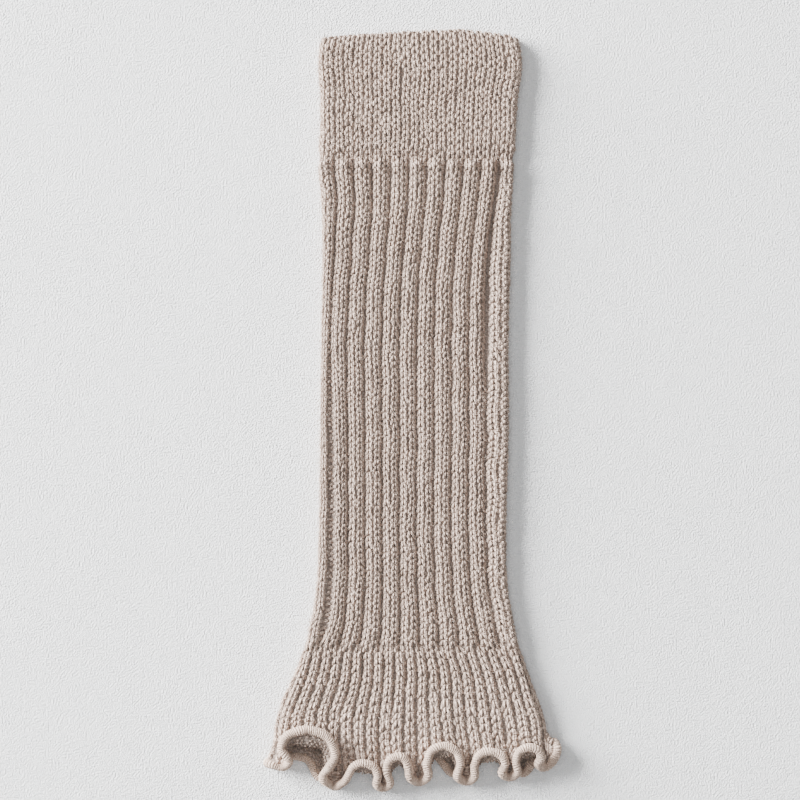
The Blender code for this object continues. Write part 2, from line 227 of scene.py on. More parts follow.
STITCH_RISE = 2.0  # from the cloth's ground up to the top of a stitch
HEM_STITCH_RISE = 1.5
PURL_RISE = 1.0
PURLS_TO_A_WALE = 6  # of the front, whose wales are widest where the hem is stretched
BACK_PURLS_TO_A_WALE = 2
HEM_PURL_WIDTH = 0.6  # of a purl bump there, in those of a plain one
HEM_SINK = 0.1  # how far the middle of a stitch's height lies inside the hem's outer face
GROUND_WALL = 1.2  # the closed ground under the stitches
HEM_GROUND_WALL = 0.3
LEAST_GROUND_WALL = 0.25
CLOTH_REST_Z = 0.05  # the lowest that the cloth reaches over the surface it lies on
ROLL_REST_Z = 0.03  # and the roll

# One leg of a stitch, from its tip in the stitch above to its foot under the next one.
# Across and half_width are in wales, along in rows, and the heights in stitch rises.
STITCH_LEG = np.array(
    #  across  along  height  half_width  half_height
    [
        (0.00, -0.46, 0.00, 0.000, 0.00),
        (0.10, -0.18, 0.48, 0.155, 0.40),
        (0.19, 0.20, 0.62, 0.197, 0.44),
        (0.27, 0.58, 0.62, 0.210, 0.44),
        (0.31, 0.96, 0.46, 0.190, 0.38),
        (0.26, 1.34, 0.00, 0.000, 0.00),
    ]
)
LEG_SIDES = 6
GROUND_HEIGHT = 0.30  # in stitch rises: where the feet of the stitches go into the ground

# The arch of one purl bump of the inner face, in the same measures.
PURL_ARCH = np.array(
    #  across  along  height  half_width  half_height
    [
        (-0.36, 0.16, 0.00, 0.00, 0.00),
        (-0.22, 0.04, 0.38, 0.27, 0.38),
        (0.00, -0.04, 0.58, 0.34, 0.46),
        (0.22, 0.04, 0.38, 0.27, 0.38),
        (0.36, 0.16, 0.00, 0.00, 0.00),
    ]
)
LOWER_BUMP = (0.5, 0.42, -0.1)  # where a stitch's lower bump lies from its upper one

WRAP_PITCH = 1.05  # thread wraps along the roll
WRAP_RADIUS = 1.03  # in radii of the roll
WRAP_SIDES = 16
WRAP_SLANT = 0.9  # how far a wrap slants along the roll, in pitches
WRAP_PROFILE = (
    #  along  radius
    (0.0, 0.88),
    (0.17, 0.97),
    (0.5, 1.04),
    (0.83, 0.97),
    (1.0, 0.88),
)
ROLL_SAMPLES = 3000  # places along the roll between which its line is read

# How uneven single stitches are: the spread of their lean, width, place, size and height.
STITCH_LEAN = 0.05
STITCH_WIDTH = 0.08
STITCH_WALE = 0.02
STITCH_ROW = 0.09
STITCH_SIZE = 0.06
STITCH_HEIGHT = 0.045

# And how neighbours wander together, in smooth waves.
WANDERS = {
    #  seed  amount  length of a wave in rows or wraps
    "wales": (11, 0.07, 14),
    "rows": (12, 0.22, 30),
    "wraps": (21, 0.25, 9),
    "lumps": (22, 0.035, 12),
    "thickness": (23, 0.03, 60),
}
WANDER_WAVES = 5  # waves that are added up
WANDER_ACROSS = 1 / 3  # how fast they change from wale to wale


# --- The cloth's surface ---------------------------------------------------------------


def smooth(knots, values, at):
    """Values read from a smooth curve through the knots, a cubic between each two."""
    knots, at = np.asarray(knots, float), np.asarray(at, float)
    values = np.asarray(values, float)
    slopes = np.gradient(values, knots, axis=0)
    first = np.clip(np.searchsorted(knots, at, side="right") - 1, 0, len(knots) - 2)
    span = knots[first + 1] - knots[first]
    part = (at - knots[first]) / span
    if values.ndim > 1:
        span, part = span[..., None], part[..., None]
    return (
        values[first] * (1 + 2 * part) * (1 - part) ** 2
        + values[first + 1] * part**2 * (3 - 2 * part)
        + slopes[first] * span * part * (1 - part) ** 2
        - slopes[first + 1] * span * part**2 * (1 - part)
    )


def ramp(start, end, at):
    """0 before start, 1 after end, and smooth between them."""
    part = np.clip((at - start) / (end - start), 0, 1)
    return part * part * (3 - 2 * part)


def unit(vectors):
    return vectors / np.linalg.norm(vectors, axis=-1, keepdims=True)


def length_along(places):
    """How far each place of a line is from its first, along the line."""
    steps = np.linalg.norm(np.diff(places, axis=0), axis=1)
    return np.concatenate([[0], np.cumsum(steps)])


def read_along(values, length, at):
    """Values given at these lengths along a line, read at others."""
    return np.stack([np.interp(at, length, values[:, axis]) for axis in range(3)], axis=-1)


def to_hem(down):
    """0 on the leg and 1 near the hem, where the stretched cloth is thin."""
    return ramp(HEM_START - THINS_BEFORE, HEM_START + HEM_DROP * THIN_BY, down)


def layer_thickness(down):
    return WALL + (HEM_WALL - WALL) * to_hem(down)


def flat_tube(wale, down):
    """The middle of the wall where the tube lies flat: two layers joined by round folds."""
    left = smooth(DOWN, LEFT, down)
    right = smooth(DOWN, RIGHT, down)
    first_groove = smooth(DOWN, FIRST_GROOVE, down)
    last_groove = smooth(DOWN, LAST_GROOVE, down)
    height = smooth(DOWN, HEIGHT, down)
    across = np.where(wale > WALES, 2 * WALES - wale, wale)
    side = np.where(wale > WALES, -1.0, 1.0)
    outer = height / 2
    middle = (height - layer_thickness(down)) / 2
    quarter = np.pi / 2 * outer

    # The fold nearest to each place: its outermost x, and the way to the tube's middle.
    on_left = across < WALES / 2
    fold_x = np.where(on_left, left, right)
    inward = np.where(on_left, 1.0, -1.0)
    groove_x = np.where(on_left, first_groove, last_groove)
    from_fold = np.where(on_left, across, WALES - across)
    run = quarter + np.abs(groove_x - fold_x) - outer
    walked = from_fold / EDGE_WALES * run
    turned = np.clip(walked / outer, 0, np.pi / 2)
    beside = outer - middle * np.cos(turned) + np.clip(walked - quarter, 0, None)
    x_edge = fold_x + inward * beside
    between = (across - EDGE_WALES) / (WALES - 2 * EDGE_WALES)
    x_inside = first_groove + (last_groove - first_groove) * between
    x = np.where(from_fold < EDGE_WALES, x_edge, x_inside)
    rise = np.where(from_fold < EDGE_WALES, np.sin(turned), 1.0)
    return np.stack([x, TOP_Y - down + 0 * x, outer + side * middle * rise], axis=-1)


def wale_at(x):
    """The front wale that runs to this place along the hem."""
    return WALES * (x - LEFT_X) / (RIGHT_X - LEFT_X)


def hem_row(wale, x, y, z, heading, rise, lip=LEAST_LIP):
    """One row of the hem's table: a place of the roll, and how the cloth comes to it."""
    heading, rise = np.radians(heading), np.radians(rise)
    flat = np.cos(rise)
    return (wale, x, y, z, flat * np.cos(heading), flat * np.sin(heading), np.sin(rise), lip)


def trough_row(x, y, z):
    return hem_row(wale_at(x), x, y, z, -90, TROUGH_RISE)


def bend_row(crest, trough, name):
    """The row for one bend of the roll between a crest and the trough to its left or right."""
    out, part, sink, wale_part, heading, rise, lip_share = BENDS[name]
    crest_x, crest_y, crest_half, crest_z, lip = crest
    trough_x, trough_y, trough_half, trough_z = trough
    way = 1 if trough_x > crest_x else -1
    x = crest_x + way * out * crest_half if out else trough_x - way * trough_half
    return hem_row(
        wale_at(crest_x) + wale_part * (wale_at(trough_x) - wale_at(crest_x)),
        x,
        crest_y + part * (trough_y - crest_y),
        crest_z + sink * (trough_z - crest_z),
        heading if way > 0 else 180 - heading,
        rise,
        lip_share * lip,
    )


def hem_table():
    """Rows of wale, x, y, z, aim x, aim y, aim z and lip, once round the hem."""
    rows = [hem_row(*fold) for fold in FOLDS]
    trough = FIRST_TROUGH
    rows.append(trough_row(trough[0], trough[1], trough[3]))
    for wave in FRONT_WAVES:
        crest, next_trough = wave[:5], wave[5:]
        crest_x, crest_y, _, crest_z, lip = crest
        rows += [bend_row(crest, trough, name) for name in BENDS]
        rows.append(hem_row(wale_at(crest_x), crest_x, crest_y, crest_z, 90, CREST_RISE, lip))
        rows += [bend_row(crest, next_trough, name) for name in BENDS]
        rows.append(trough_row(next_trough[0], next_trough[1], next_trough[3]))
        trough = next_trough
    rows += [hem_row(2 * WALES - wale_at(x), x, y, BACK_Z, -90, 0) for x, y in BACK_HEM]
    return np.array(sorted((row[0] % (2 * WALES), *row[1:]) for row in rows))


HEM = hem_table()
# The same rows once more before and after, so that the curve through them closes.
ROUND = np.array([2 * WALES, 0, 0, 0, 0, 0, 0, 0])
HEM_CLOSED = np.concatenate([HEM[-3:] - ROUND, HEM, HEM[:3] + ROUND])


def hem_edge(wale):
    """The roll's centre line, the way the cloth comes to it, and the cloth's lip there."""
    found = smooth(HEM_CLOSED[:, 0], HEM_CLOSED[:, 1:], wale)
    place, aim, lip = found[..., :3], found[..., 3:6], found[..., 6:]
    place = np.concatenate([place[..., :2], np.maximum(place[..., 2:], EDGE_RADIUS)], axis=-1)
    ahead = smooth(HEM_CLOSED[:, 0], HEM_CLOSED[:, 1:4], wale + TANGENT_STEP)
    behind = smooth(HEM_CLOSED[:, 0], HEM_CLOSED[:, 1:4], wale - TANGENT_STEP)
    along = unit(ahead - behind)
    across = aim - np.sum(aim * along, axis=-1, keepdims=True) * along
    return place, unit(across), np.maximum(lip, LEAST_LIP)


def spline(controls, part):
    """A place on the cubic B-spline that starts and ends at the first and last control."""
    count, degree = len(controls), 3
    inner = np.linspace(0, 1, count - degree + 1)
    knots = np.concatenate([np.zeros(degree), inner, np.ones(degree)])
    # The end itself belongs to no span, so it is read just before.
    part = np.clip(part, 0, 1 - 1e-9)[..., None]
    weights = [(low <= part) & (part < high) for low, high in zip(knots, knots[1:])]
    for step in range(1, degree + 1):
        spans = knots[step:] - knots[:-step]
        spans[spans == 0] = 1
        weights = [
            (part - knots[i]) / spans[i] * weights[i]
            + (knots[i + step + 1] - part) / spans[i + 1] * weights[i + 1]
            for i in range(len(weights) - 1)
        ]
    return sum(weight * control for weight, control in zip(weights, controls))


def run_in(wale):
    """Where the cloth's way runs on from the flat part and comes to the roll: five places."""
    start = flat_tube(wale, np.full_like(wale, HEM_START))
    onward = unit(start - flat_tube(wale, np.full_like(wale, HEM_START - ONWARD_STEP)))
    place, aim, lip = hem_edge(wale)
    end = place - aim * (EDGE_RADIUS - INTO_ROLL)
    first = start + onward * START_RUN
    first[..., 2] += np.where(wale % (2 * WALES) < WALES, SWELL * (place[..., 2] - LEVEL_Z), 0)
    turn = (1 - np.sum(onward * aim, axis=-1, keepdims=True)) / 2
    over = end - aim * lip
    across = np.where(wale > WALES, 2 * WALES - wale, wale)
    fanned_x = LEFT_X + (RIGHT_X - LEFT_X) * across / WALES
    under_y = over[..., 1] + (1 - turn[..., 0]) * RUN_IN
    way_down = (start[..., 1] - under_y) / (start[..., 1] - HEM_Y)
    under_x = start[..., 0] + (fanned_x - start[..., 0]) * way_down
    under = np.stack([under_x, under_y, start[..., 2]], axis=-1)
    near_end = end - aim * lip / 3  # a third of the lip before the edge
    return np.stack([first, under, over, near_end, end])


def waved_hem(wale, part):
    """The middle of the wall from where the waves begin, part 0, to the cloth's edge, part 1."""
    start = flat_tube(wale, np.full_like(wale, HEM_START))
    exact = run_in(wale)
    eased = sum(run_in((wale + step) % (2 * WALES)) for step in EASE) / len(EASE)
    near = (exact[3] + eased[3]) / 2
    return spline([start, eased[0], eased[1], eased[2], near, exact[4]], part)


def wall_middle(wale, down):
    tube = flat_tube(wale, np.minimum(down, HEM_START))
    hem = waved_hem(wale, np.clip((down - HEM_START) / HEM_DROP, 0, 1))
    return np.where((down > HEM_START)[..., None], hem, tube)


# The middle of the wall and its outward direction on an even grid. Every stitch is laid on
# it by reading between the grid's places.
GRID_PER_WALE = 8
GRID_STEP = 0.8  # millimetres down the cloth
GRID_WALES = np.arange(-GRID_PER_WALE, (2 * WALES + 1) * GRID_PER_WALE + 1) / GRID_PER_WALE
GRID_DOWN = np.linspace(0, HEM_START + HEM_DROP, round((HEM_START + HEM_DROP) / GRID_STEP))


def even_hem(places):
    """The same cloth with its hem's places evenly spaced down each wale."""
    first = np.searchsorted(GRID_DOWN, HEM_START)
    for column in places:
        hem = column[first:]
        length = length_along(hem)
        column[first:] = read_along(hem, length, np.linspace(0, length[-1], len(hem)))
    return places


GRID_PLACES = even_hem(
    wall_middle(*np.meshgrid(GRID_WALES % (2 * WALES), GRID_DOWN, indexing="ij"))
)
GRID_OUT = unit(np.cross(np.gradient(GRID_PLACES, axis=1), np.gradient(GRID_PLACES, axis=0)))


def on_grid(values, wale, down):
    """The grid's values at any place of the cloth."""
    i = (wale % (2 * WALES) - GRID_WALES[0]) * GRID_PER_WALE
    j = np.clip(down, 0, GRID_DOWN[-1]) / (GRID_DOWN[1] - GRID_DOWN[0])
    first = i.astype(int)
    over = np.minimum(j.astype(int), len(GRID_DOWN) - 2)
    a, b = (i - first)[:, None], (j - over)[:, None]
    near = values[first, over] * (1 - b) + values[first, over + 1] * b
    far = values[first + 1, over] * (1 - b) + values[first + 1, over + 1] * b
    return near * (1 - a) + far * a


def on_leg(down):
    """0 where there are no ribs and 1 where they have their full height."""
    start = ramp(CUFF_END - RIB_LEAD, CUFF_END + RISE_START, down)
    return start * (1 - ramp(LEG_END - RIB_FADE, LEG_END + RIB_TRAIL, down))


def on_flare(down):
    """0 above the flare's single wales and 1 where they have their full height."""
    return ramp(LEG_END + PLAIN_BAND, LEG_END + PLAIN_BAND + WALE_START, down)


def groove_open(down, opens_from, opens_to, closes_from, closes_to):
    return ramp(opens_from, opens_to, down) * (1 - ramp(closes_from, closes_to, down))


def relief(wale, down):
    """How far the knit stands out: ribs on the leg, single wales on the flare."""
    across = np.sin(np.pi * wale / RIB_WALES) ** 2
    gutter = 1 - across**RIB_ROUNDNESS
    ribbed = on_leg(down - RIB_HEAD_ROUND * (1 - across))
    head = RIB_HEAD * across * (1 - ramp(CUFF_END, CUFF_END + RIB_HEAD_LENGTH, down))
    deepest = ramp(LEG_END - GUTTER_END_LENGTH, LEG_END - GUTTER_FULL_LENGTH, down)
    deep = RIB_DEPTH + GUTTER_END_DEPTH * deepest
    ribs = (RIB_RISE + head - deep * gutter) * ribbed
    dip = CUFF_DIP * ramp(CUFF_END - CUFF_DIP_LENGTH, CUFF_END - RIB_LEAD, down)
    below_cuff = ramp(CUFF_END + RISE_START, CUFF_END + 2 * RISE_START, down)
    ribs = ribs - dip * (1 - ribbed) * (1 - below_cuff)
    for groove, *stretch, _, depth in OPEN_GROOVES:
        near = np.exp(-(((wale - groove) / GROOVE_HALF_WIDTH) ** 2))
        ribs = ribs - depth * near * groove_open(down, *stretch)
    between = 1 - np.abs(np.sin(np.pi * (wale - FLARE_SHIFT))) ** WALE_ROUNDNESS
    flattened = ramp(HEM_START - FLATTENS_BEFORE, HEM_START + HEM_DROP * FLAT_BY, down)
    wales = (WALE_RISE - WALE_DEPTH * between) * (1 - HEM_FLATNESS * flattened)
    return ribs + wales * on_flare(down)


def drawn_in(wale, column, down):
    """Columns of a rib draw together and leave a gutter, and so do single wales less."""
    rib = (column // RIB_WALES + 0.5) * RIB_WALES
    wale = wale + (rib - wale) * RIB_SQUEEZE * on_leg(down)
    for groove, *stretch, push, _ in OPEN_GROOVES:
        beside = np.abs(column + 0.5 - groove) < RIB_WALES
        far_side = groove + RIB_WALES * np.sign(column + 0.5 - groove)
        wale = wale + (far_side - wale) * push * beside * groove_open(down, *stretch)
    return wale + (column + 0.5 - wale) * WALE_SQUEEZE * on_flare(down)


def stitch_rise(down):
    return STITCH_RISE + (HEM_STITCH_RISE - STITCH_RISE) * to_hem(down)


def ground_wall(down):
    return GROUND_WALL + (HEM_GROUND_WALL - GROUND_WALL) * to_hem(down)


def on_cloth(wale, row, height, side="outer"):
    """A place on the cloth in metres. Height is in stitch rises over the ground, and on the
    ground's own inner face and the purl bumps it counts inwards from the ground."""
    down = np.interp(row, ROWS[:, 0], ROWS[:, 1])
    rise = stitch_rise(down)
    # At the hem the stitches stand on the wall's middle, so that the curl has room.
    top = layer_thickness(down) / 2 + to_hem(down) * (rise / 2 - HEM_SINK)
    ground = top - rise
    raised = relief(wale, down)
    if side == "outer":
        offset = ground + raised + rise * height
    else:
        # Half the relief, so that the gutters of the two layers stay clear of each other.
        face = ground + raised + rise * GROUND_HEIGHT
        inside = ground + raised / 2 * (1 - to_hem(down)) + rise * GROUND_HEIGHT
        offset = np.minimum(inside - ground_wall(down), face - LEAST_GROUND_WALL)
        offset = offset - PURL_RISE * height
    turned = np.clip((RIM - down) / RIM, 0, None)
    place = on_grid(GRID_PLACES, wale, down)
    place = place + unit(on_grid(GRID_OUT, wale, down)) * (offset * np.cos(turned))[:, None]
    over_rim = offset * np.sin(turned) - (RIM - np.clip(down, 0, RIM))
    place[:, 1] += np.where(turned > 0, over_rim, 0)
    beyond = np.interp(place[:, 0], CUFF_TOP[:, 0], CUFF_TOP[:, 1])
    place[:, 1] += beyond * (1 - ramp(0, CUFF_TOP_REACH, down))
    place[:, 2] = np.maximum(place[:, 2], CLOTH_REST_Z)
    return (place - MIDDLE) * MM


# --- Stitches --------------------------------------------------------------------------


def wander(kind, wale, row):
    """A smooth unevenness that neighbouring stitches or wraps share."""
    seed, amount, wave_length = WANDERS[kind]
    rng = np.random.default_rng(seed)
    total = np.zeros_like(row)
    for _ in range(WANDER_WAVES):
        across = rng.normal(0, WANDER_ACROSS, 1)
        along = rng.normal(0, 2 * np.pi / wave_length, 1)
        total += np.sin(across * wale + along * row + rng.uniform(0, 2 * np.pi))
    return amount * (total / np.sqrt(WANDER_WAVES / 2))


def bent_along(bm, table, lying=False):
    """A thin body along the table's path, made from a sphere: its poles are the two ends. Its
    width is taken across the wale, or along it where the path is lying across."""
    made = bmesh.ops.create_uvsphere(
        bm, u_segments=LEG_SIDES, v_segments=len(table) - 1, radius=1, calc_uvs=True
    )["verts"]
    for vert in made:
        across, along, height, half_width, half_height = table[
            round(np.arccos(np.clip(vert.co.z, -1, 1)) / np.pi * (len(table) - 1))
        ]
        turn = np.arctan2(vert.co.y, vert.co.x)
        wide = half_width * np.cos(turn)
        vert.co = (
            across + (0 if lying else wide),
            along + (wide if lying else 0),
            height + half_height * np.sin(turn),
        )
    return made


def new_bmesh():
    bm = bmesh.new()
    bm.loops.layers.uv.new("UVMap")
    return bm


def knit_stitch():
    """Both legs of one knit stitch, in wales, rows and stitch rises."""
    bm = new_bmesh()
    left = bent_along(bm, STITCH_LEG)
    bmesh.ops.scale(bm, vec=(-1, 1, 1), verts=left)
    bmesh.ops.reverse_faces(bm, faces=bm.faces[:])
    bent_along(bm, STITCH_LEG)
    return bm


def purl_stitch(width=1.0):
    """The two bumps that a stitch shows on the cloth's inner face."""
    bm = new_bmesh()
    lower = bent_along(bm, PURL_ARCH, lying=True)
    bmesh.ops.scale(bm, vec=(1, -width, 1), verts=lower)
    bmesh.ops.translate(bm, vec=LOWER_BUMP, verts=lower)
    upper = bent_along(bm, PURL_ARCH, lying=True)
    bmesh.ops.scale(bm, vec=(1, width, 1), verts=upper)
    bmesh.ops.recalc_face_normals(bm, faces=bm.faces[:])
    return bm


def repeated(bm, counts):
    """One mesh of a stitch, wrap or fibre repeated so often along each axis, one apart."""
    seed_mesh = bpy.data.meshes.new("one_stitch")
    bm.to_mesh(seed_mesh)
    bm.free()
    seed = bpy.data.objects.new("one_stitch", seed_mesh)
    bpy.context.scene.collection.objects.link(seed)
    for axis, count in enumerate(counts):
        array = seed.modifiers.new("repeat", "ARRAY")
        array.count = count
        array.use_relative_offset = False
        array.use_constant_offset = True
        array.constant_offset_displace = [float(axis == i) for i in range(3)]
    depsgraph = bpy.context.evaluated_depsgraph_get()
    mesh = bpy.data.meshes.new_from_object(seed.evaluated_get(depsgraph))
    bpy.data.objects.remove(seed)
    bpy.data.meshes.remove(seed_mesh)
    return mesh


def places_of(mesh):
    flat = np.empty(len(mesh.vertices) * 3)
    mesh.vertices.foreach_get("co", flat)
    return flat.reshape(-1, 3)


def moved(mesh, places):
    """The mesh with its points put at these places."""
    mesh.vertices.foreach_set("co", np.asarray(places, np.float32).ravel())
    mesh.shade_smooth()
    mesh.update()
    return mesh


def lay_stitches(
    name, bm, wales, rows, seed, material, side="outer", to_a_wale=1, in_groove=False
):
    """Knits a field of stitches over a stretch of wales and rows, each a little uneven."""
    first_wale, last_wale = wales
    first_row, last_row = rows
    counts = (round(to_a_wale * (last_wale - first_wale)), last_row - first_row)
    stitch_verts = len(bm.verts)
    mesh = repeated(bm, counts)
    places = places_of(mesh)
    rng = np.random.default_rng(seed)

    def each(spread):
        return np.repeat(rng.normal(0, spread, counts[0] * counts[1]), stitch_verts)

    column = np.repeat(np.tile(np.arange(counts[0]), counts[1]), stitch_verts)
    line = np.repeat(np.repeat(np.arange(counts[1]), counts[0]), stitch_verts)
    lean = each(STITCH_LEAN) * (places[:, 1] - line)
    across = (places[:, 0] - column) * (1 + each(STITCH_WIDTH)) + 0.5 + lean
    wale = first_wale + (column + across) / to_a_wale + each(STITCH_WALE)
    column = first_wale + column // to_a_wale
    row = first_row + places[:, 1] + each(STITCH_ROW)
    wale += wander("wales", wale, row)
    row += wander("rows", wale, row)
    height = places[:, 2] * (1 + each(STITCH_SIZE)) + each(STITCH_HEIGHT)
    down = np.interp(row, ROWS[:, 0], ROWS[:, 1])
    # Between two ribs nothing is drawn to either, and the bumps lie across the groove.
    wale = wale - 0.5 if in_groove else drawn_in(wale, column, down)
    return finished(name, moved(mesh, on_cloth(wale, row, height, side)), material)


def finished(name, mesh, material):
    """The mesh as a piece of the leg warmer."""
    obj = bpy.data.objects.new(name, mesh)
    bpy.context.scene.collection.objects.link(obj)
    mesh.materials.clear()
    mesh.materials.append(material)
    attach(obj, "root")
    return obj


# --- The ground under the stitches -----------------------------------------------------

GROUND_PER_WALE, GROUND_PER_ROW = 4, 2
GROUND_WELD = 1e-6  # metres within which two points are one


def ground(name, rows, material):
    """The closed wall under the stitches, all round the tube: an outer and an inner face."""
    first_row, last_row = rows
    bm = new_bmesh()
    for side, height in (("outer", GROUND_HEIGHT), ("inner", 0.0)):
        made = bmesh.ops.create_grid(
            bm,
            x_segments=2 * WALES * GROUND_PER_WALE,
            y_segments=GROUND_PER_ROW * (last_row - first_row),
            size=0.5,
            calc_uvs=True,
        )["verts"]
        flat = np.array([vert.co[:] for vert in made])
        wale = (flat[:, 0] + 0.5) * 2 * WALES
        row = first_row + (flat[:, 1] + 0.5) * (last_row - first_row)
        for vert, place in zip(made, on_cloth(wale, row, np.full_like(row, height), side)):
            vert.co = place
    bmesh.ops.remove_doubles(bm, verts=bm.verts[:], dist=GROUND_WELD)
    middle_y = np.mean([vert.co.y for vert in bm.verts])
    open_edges = [edge for edge in bm.edges if edge.is_boundary]
    for way in (1, -1):
        rim = [edge for edge in open_edges if way * (edge.verts[0].co.y - middle_y) > 0]
        bmesh.ops.bridge_loops(bm, edges=rim)
    bmesh.ops.recalc_face_normals(bm, faces=bm.faces[:])
    mesh = bpy.data.meshes.new(name)
    bm.to_mesh(mesh)
    bm.free()
    mesh.shade_smooth()
    return finished(name, mesh, material)


# --- The wrapped roll along the hem ----------------------------------------------------


WRAP_WELD = 0.00002  # metres within which two points are one


def roll_line():
    """Places along the roll, how the cloth comes to each, and how far along each one is."""
    place, aim, _ = hem_edge(np.linspace(0, 2 * WALES, ROLL_SAMPLES))
    return place, aim, length_along(place)


def roll_frames(walked):
    """The place and the two directions across the roll, at these lengths along it."""
    place, aim, length = roll_line()
    at = walked % length[-1]
    aims = unit(read_along(aim, length, at))
    along = unit(read_along(unit(np.gradient(place, axis=0)), length, at))
    return read_along(place, length, at), aims, unit(np.cross(along, aims))


def one_wrap():
    """One turn of the thread round the roll: a round-shouldered ring, one pitch long."""
    bm = new_bmesh()
    bmesh.ops.create_circle(bm, segments=WRAP_SIDES, radius=WRAP_PROFILE[0][1])
    edges = bm.edges[:]
    for (was_along, was_radius), (along, radius) in zip(WRAP_PROFILE, WRAP_PROFILE[1:]):
        made = bmesh.ops.extrude_edge_only(bm, edges=edges)["geom"]
        verts = [item for item in made if isinstance(item, bmesh.types.BMVert)]
        new_edges = [item for item in made if isinstance(item, bmesh.types.BMEdge)]
        edges = [edge for edge in new_edges if not edge.is_manifold]
        bmesh.ops.translate(bm, vec=(0, 0, along - was_along), verts=verts)
        bmesh.ops.scale(bm, vec=(radius / was_radius, radius / was_radius, 1), verts=verts)
    unwrapped = bm.loops.layers.uv.active
    for face in bm.faces:
        for loop in face.loops:
            x, y, along = loop.vert.co
            loop[unwrapped].uv = (np.arctan2(y, x) / (2 * np.pi), along)
    return bm


def lettuce_wraps(material):
    """The thread wound round the whole hem, wrap beside wrap."""
    length = roll_line()[-1][-1]
    count = round(length / WRAP_PITCH)
    mesh = repeated(one_wrap(), (1, 1, count))
    places = places_of(mesh)
    turn = np.arctan2(places[:, 1], places[:, 0])
    radius = np.hypot(places[:, 0], places[:, 1]) * EDGE_RADIUS * WRAP_RADIUS
    walked = places[:, 2] + 0.5 * WRAP_SLANT * np.sin(turn)
    walked += wander("wraps", turn, places[:, 2])
    radius *= 1 + wander("lumps", turn, places[:, 2])
    radius *= 1 + wander("thickness", np.zeros_like(turn), places[:, 2])
    place, aim, side = roll_frames(walked / count * length)
    outward = aim * np.cos(turn)[:, None] + side * np.sin(turn)[:, None]
    place = place + outward * radius[:, None]
    place[:, 2] = np.maximum(place[:, 2], ROLL_REST_Z)
    moved(mesh, (place - MIDDLE) * MM)
    bm = bmesh.new()
    bm.from_mesh(mesh)
    bmesh.ops.remove_doubles(bm, verts=bm.verts[:], dist=WRAP_WELD)
    bmesh.ops.recalc_face_normals(bm, faces=bm.faces[:])
    bm.to_mesh(mesh)
    bm.free()
    return finished("lettuce_wraps", mesh, material)


# --- Loose fibres ----------------------------------------------------------------------

FIBRES = 24000
FIBRE_ROWS = (0.5, 121.0)
AT_THE_FOLDS = 0.3  # share of them along the two folds, where they blur the outline
FOLD_SPREAD = 0.7  # in wales
FIBRE_RADIUS = (0.017, 0.022)  # in wales and rows
FIBRE_REACH = (0.40, 0.50)  # how far a fibre leans, in wales and rows
FIBRE_FOOT = 0.75  # in stitch rises over the ground
FIBRE_HEIGHT = (0.35, 1.25)  # the shortest and the longest, in the same
FIBRE_WELD = 1e-5  # within which two points of the one-long fibre are one


def loose_fibres(name, wales, rows, seed, material):
    """Short fibres that stand off the yarn all over: closed three-sided spikes."""
    bm = new_bmesh()
    bmesh.ops.create_cone(bm, segments=3, radius1=1, radius2=0, depth=1, cap_ends=True)
    bmesh.ops.translate(bm, vec=(0, 0, 0.5), verts=bm.verts[:])
    bmesh.ops.remove_doubles(bm, verts=bm.verts[:], dist=FIBRE_WELD)
    per_fibre = len(bm.verts)
    mesh = repeated(bm, (FIBRES, 1))
    places = places_of(mesh)
    places[:, 0] -= np.repeat(np.arange(FIBRES), per_fibre)
    rng = np.random.default_rng(seed)

    def spread(low, high):
        return np.repeat(rng.uniform(low, high, FIBRES), per_fibre)

    up = places[:, 2]
    lean = spread(0, 2 * np.pi)
    root = rng.uniform(*wales, FIBRES)
    at_fold = rng.random(FIBRES) < AT_THE_FOLDS
    root[at_fold] = np.round(root[at_fold] / WALES) * WALES + rng.normal(
        0, FOLD_SPREAD, at_fold.sum()
    )
    wale = np.repeat(root, per_fibre) + places[:, 0] * FIBRE_RADIUS[0]
    wale = wale + up * np.cos(lean) * FIBRE_REACH[0]
    row = spread(*rows) + places[:, 1] * FIBRE_RADIUS[1]
    row = np.clip(row + up * np.sin(lean) * FIBRE_REACH[1], *rows)
    height = FIBRE_FOOT + up * spread(*FIBRE_HEIGHT)
    return finished(name, moved(mesh, on_cloth(wale, row, height)), material)


# --- Materials -------------------------------------------------------------------------

WHITE = (1.0, 1.0, 1.0)
STITCH_DRIFT = 500.0  # how far the streaks' pattern shifts over a metre, stitch by stitch
YARN_STRETCH = (4.5, 2.0, 0.0)  # repeats of the pattern round the yarn and along it
STREAKS = {"Scale": 2.3, "Detail": 3.0, "Roughness": 0.65}
STREAK_STOPS = (0.39, 0.49, 0.60)  # where the dark, middle and light tones stand
FIBRE_GRAIN = {"Scale": 4.0, "Detail": 4.0, "Roughness": 0.7}
CLOUDS = {"Scale": 90.0, "Detail": 4.0}
CLOUD_TONES = ((0.32, (0.88, 0.87, 0.86)), (0.68, WHITE))
# Painted shade: the colour is darkened between the plies of the yarn and between the wraps of the
# thread.
PAINTED_SHADE_BETWEEN_PLIES = ((0.05, (0.68, 0.64, 0.62)), (0.45, WHITE))
PLY_HEIGHT = 1.6  # of a ply, in those of the fibres on it
FIBRE_BUMP = 0.0004
WOOL_FINISH = {
    "Roughness": 0.95,
    "Specular IOR Level": 0.2,
    "Sheen Weight": 0.12,
    "Sheen Roughness": 0.6,
    "Sheen Tint": (1.0, 0.88, 0.78, 1.0),
}
PAPER_GRAIN = {"Scale": 1100.0, "Detail": 2.0}
PAPER_TONES = ((0.3, (0.90, 0.90, 0.90)), (0.7, (0.99, 0.99, 0.99)))
PAPER_BUMP = 0.0019
PAPER_ROUGHNESS = 0.85

